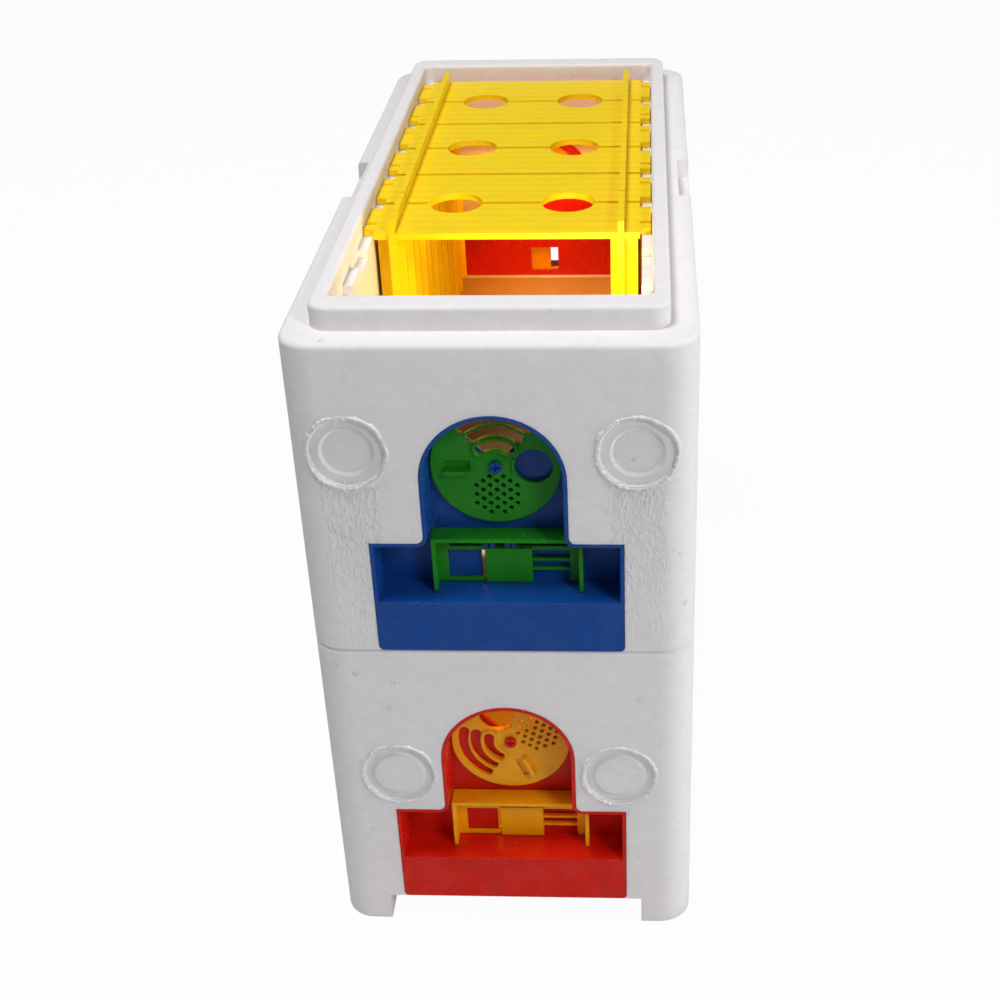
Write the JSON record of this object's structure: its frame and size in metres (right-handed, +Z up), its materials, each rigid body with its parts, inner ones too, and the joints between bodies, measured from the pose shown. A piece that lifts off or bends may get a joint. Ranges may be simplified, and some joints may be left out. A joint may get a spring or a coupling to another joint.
{
  "type": "mating nuc box",
  "caption": "Stack of foam mating hive bodies with moulded entrance inserts, turning entrance discs, sliding gates and lift-out comb frames.",
  "frame": {"origin": "bottom centre of the stack, on the floor under the four feet", "axes": "+Z up, front towards -Y, +X to the right seen from the front"},
  "size_m": [0.152, 0.3404, 0.2903],
  "materials": {
    "white_foam": "beaded foam",
    "frame_yellow": "moulded satin",
    "blue_plastic": "moulded satin",
    "green_plastic": "moulded satin",
    "red_plastic": "moulded satin",
    "yellow_plastic": "moulded satin"
  },
  "bodies": {
    "lower_body": {"lower_foam_body": "white_foam", "lower_comb_frame_1": "frame_yellow", "lower_comb_frame_2": "frame_yellow", "lower_comb_frame_3": "frame_yellow", "lower_comb_frame_4": "frame_yellow", "lower_comb_frame_5": "frame_yellow", "lower_comb_frame_6": "frame_yellow", "lower_front_entrance_insert": "red_plastic", "lower_front_pivot_pin": "red_plastic", "lower_rear_entrance_insert": "blue_plastic", "lower_rear_pivot_pin": "blue_plastic"},
    "upper_body": {"upper_foam_body": "white_foam", "upper_front_entrance_insert": "blue_plastic", "upper_front_pivot_pin": "blue_plastic", "upper_rear_entrance_insert": "red_plastic", "upper_rear_pivot_pin": "red_plastic"},
    "comb_frame_1": {"upper_comb_frame_1": "frame_yellow"},
    "comb_frame_2": {"upper_comb_frame_2": "frame_yellow"},
    "comb_frame_3": {"upper_comb_frame_3": "frame_yellow"},
    "comb_frame_4": {"upper_comb_frame_4": "frame_yellow"},
    "comb_frame_5": {"upper_comb_frame_5": "frame_yellow"},
    "comb_frame_6": {"upper_comb_frame_6": "frame_yellow"},
    "upper_front_disc": {"upper_front_entrance_disc": "green_plastic"},
    "upper_front_gate": {"upper_front_sliding_gate": "green_plastic"},
    "upper_rear_disc": {"upper_rear_entrance_disc": "yellow_plastic"},
    "upper_rear_gate": {"upper_rear_sliding_gate": "yellow_plastic"},
    "lower_front_disc": {"lower_front_entrance_disc": "yellow_plastic"},
    "lower_front_gate": {"lower_front_sliding_gate": "yellow_plastic"},
    "lower_rear_disc": {"lower_rear_entrance_disc": "green_plastic"},
    "lower_rear_gate": {"lower_rear_sliding_gate": "green_plastic"}
  },
  "joints": [
    {"name": "upper_body_lift", "type": "slide", "parent": "lower_body", "child": "upper_body", "axis": [0, 0, 1], "range_m": [0, 0.15]},
    {"name": "comb_frame_1_lift", "type": "slide", "parent": "upper_body", "child": "comb_frame_1", "axis": [0, 0, 1], "range_m": [0, 0.15]},
    {"name": "comb_frame_2_lift", "type": "slide", "parent": "upper_body", "child": "comb_frame_2", "axis": [0, 0, 1], "range_m": [0, 0.15]},
    {"name": "comb_frame_3_lift", "type": "slide", "parent": "upper_body", "child": "comb_frame_3", "axis": [0, 0, 1], "range_m": [0, 0.15]},
    {"name": "comb_frame_4_lift", "type": "slide", "parent": "upper_body", "child": "comb_frame_4", "axis": [0, 0, 1], "range_m": [0, 0.15]},
    {"name": "comb_frame_5_lift", "type": "slide", "parent": "upper_body", "child": "comb_frame_5", "axis": [0, 0, 1], "range_m": [0, 0.15]},
    {"name": "comb_frame_6_lift", "type": "slide", "parent": "upper_body", "child": "comb_frame_6", "axis": [0, 0, 1], "range_m": [0, 0.15]},
    {"name": "upper_front_disc_turn", "type": "hinge", "parent": "upper_body", "child": "upper_front_disc", "pos_m": [0, -0.1545, 0.2236], "axis": [0, -1, 0], "continuous": true},
    {"name": "upper_front_gate_slide", "type": "slide", "parent": "upper_body", "child": "upper_front_gate", "axis": [1, 0, 0], "range_m": [-0.0199, 0.0133]},
    {"name": "upper_rear_disc_turn", "type": "hinge", "parent": "upper_body", "child": "upper_rear_disc", "pos_m": [0, 0.1545, 0.2236], "axis": [0, 1, 0], "continuous": true},
    {"name": "upper_rear_gate_slide", "type": "slide", "parent": "upper_body", "child": "upper_rear_gate", "axis": [-1, 0, 0], "range_m": [-0.0226, 0.0106]},
    {"name": "lower_front_disc_turn", "type": "hinge", "parent": "lower_body", "child": "lower_front_disc", "pos_m": [0, -0.1545, 0.0896], "axis": [0, -1, 0], "continuous": true},
    {"name": "lower_front_gate_slide", "type": "slide", "parent": "lower_body", "child": "lower_front_gate", "axis": [1, 0, 0], "range_m": [-0.0199, 0.0133]},
    {"name": "lower_rear_disc_turn", "type": "hinge", "parent": "lower_body", "child": "lower_rear_disc", "pos_m": [0, 0.1545, 0.0896], "axis": [0, 1, 0], "continuous": true},
    {"name": "lower_rear_gate_slide", "type": "slide", "parent": "lower_body", "child": "lower_rear_gate", "axis": [-1, 0, 0], "range_m": [-0.0199, 0.0133]}
  ]
}
